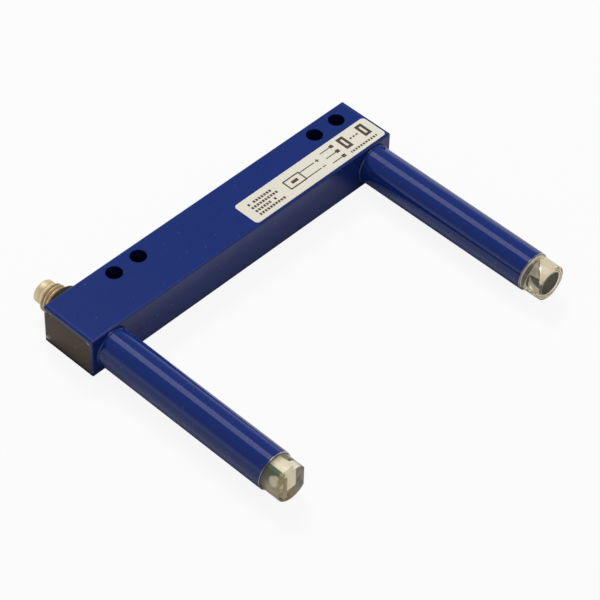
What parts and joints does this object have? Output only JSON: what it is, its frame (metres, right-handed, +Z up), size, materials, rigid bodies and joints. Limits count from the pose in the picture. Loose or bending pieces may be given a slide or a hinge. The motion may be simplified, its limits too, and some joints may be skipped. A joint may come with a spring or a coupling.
{
  "type": "fork sensor",
  "caption": "Photoelectric fork sensor: a flat housing bar with two tube arms, clear optical tips facing each other across the gap, and a round threaded connector on the back.",
  "frame": {"origin": "centre of the mounting hole pattern, on the bottom face that the sensor is mounted by", "axes": "+X along the bar towards the receiver arm, -Y along the arms to their free ends, +Z up through the bar from its mounting face to the face with the label"},
  "size_m": [0.1036, 0.0854, 0.0122],
  "materials": {
    "bar_paint": "satin",
    "tube_paint": "gloss",
    "dark_resin": "matte",
    "clear_plastic": "gloss",
    "board_green": "satin",
    "white_plastic": "satin",
    "red_plastic": "gloss",
    "chip_black": "matte",
    "capacitor_yellow": "satin",
    "black_plastic": "matte",
    "connector_brass": "satin",
    "pin_gold": "polished",
    "pad_rubber": "matte",
    "insulation_brown": "satin",
    "insulation_blue": "satin",
    "insulation_black": "satin",
    "insulation_white": "satin",
    "label_film": "satin"
  },
  "bodies": {
    "root": {"amplifier_chip": "chip_black", "arm_tube_left": "tube_paint", "arm_tube_right": "tube_paint", "board_pad_left": "pad_rubber", "board_pad_right": "pad_rubber", "connector_flange": "black_plastic", "connector_insert": "black_plastic", "connector_nut": "connector_brass", "connector_pin_1": "pin_gold", "connector_pin_2": "pin_gold", "connector_pin_3": "pin_gold", "connector_shell": "connector_brass", "detector_window": "chip_black", "emitter_board": "board_green", "emitter_package": "white_plastic", "emitter_ribbon": "insulation_white", "emitter_tip": "clear_plastic", "end_plug_left": "dark_resin", "end_plug_right": "dark_resin", "filter_capacitor": "capacitor_yellow", "housing_bar": "bar_paint", "indicator_chip": "red_plastic", "label": "label_film", "main_board": "board_green", "output_transistor": "chip_black", "photodetector": "white_plastic", "receiver_board": "board_green", "receiver_reflector": "white_plastic", "receiver_ribbon": "insulation_white", "receiver_tip": "clear_plastic", "receiver_tip_disc": "dark_resin", "spacer_sleeve_1": "black_plastic", "spacer_sleeve_2": "black_plastic", "spacer_sleeve_3": "black_plastic", "spacer_sleeve_4": "black_plastic", "voltage_regulator": "chip_black", "wire_black": "insulation_black", "wire_blue": "insulation_blue", "wire_brown": "insulation_brown"}
  },
  "joints": []
}
